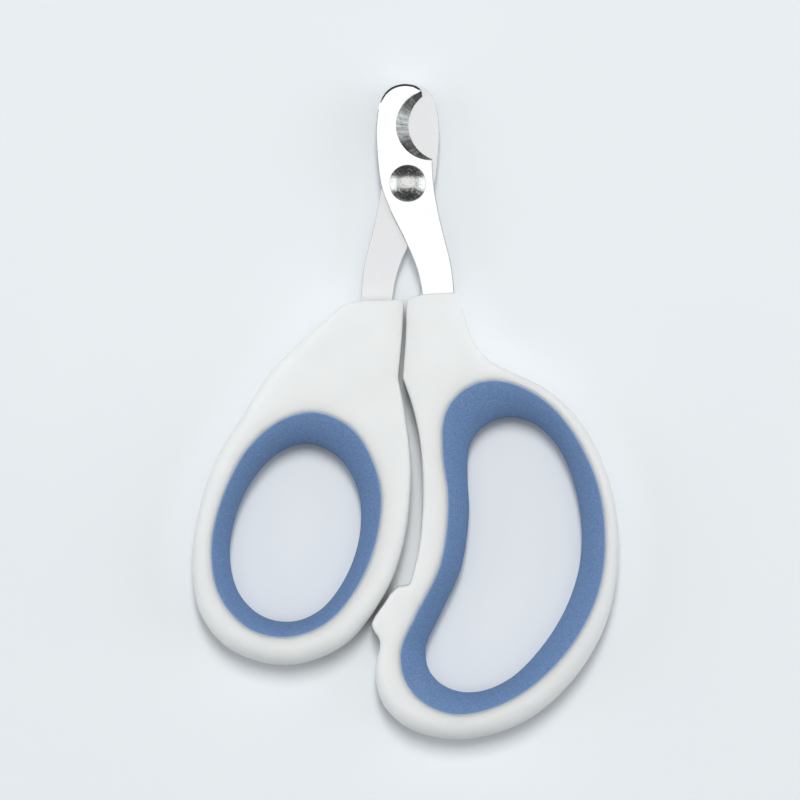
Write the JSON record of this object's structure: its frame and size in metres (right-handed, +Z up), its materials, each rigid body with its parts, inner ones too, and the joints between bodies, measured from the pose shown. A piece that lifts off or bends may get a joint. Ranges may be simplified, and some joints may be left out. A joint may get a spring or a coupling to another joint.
{
  "type": "pet nail trimmer",
  "caption": "Scissor-style claw trimmer: hooked steel blades with ground half-round notches on a domed rivet, white moulded handles with soft blue finger loops and a stop lug.",
  "frame": {"origin": "middle of the closed trimmer's footprint, on the surface that it lies on", "axes": "+Y from the handles to the blade tips, +X towards the larger finger loop, +Z up through the thickness and along the pivot"},
  "size_m": [0.0856, 0.1314, 0.01],
  "materials": {
    "blade_steel": "polished outside, ground inside",
    "rivet_steel": "polished",
    "white_plastic": "satin",
    "soft_blue": "matte, finely grained"
  },
  "bodies": {
    "finger_side": {"front_blade": "blade_steel", "pivot_rivet": "rivet_steel", "finger_handle_shell": "white_plastic", "finger_loop_inlay": "soft_blue"},
    "thumb_side": {"rear_blade": "blade_steel", "thumb_handle_shell": "white_plastic", "thumb_loop_inlay": "soft_blue"}
  },
  "joints": [
    {"name": "blade_pivot", "type": "hinge", "parent": "finger_side", "child": "thumb_side", "pos_m": [0.00043, 0.04575, 0.005], "axis": [0, 0, -1], "range_deg": [-0.5, 45]}
  ]
}
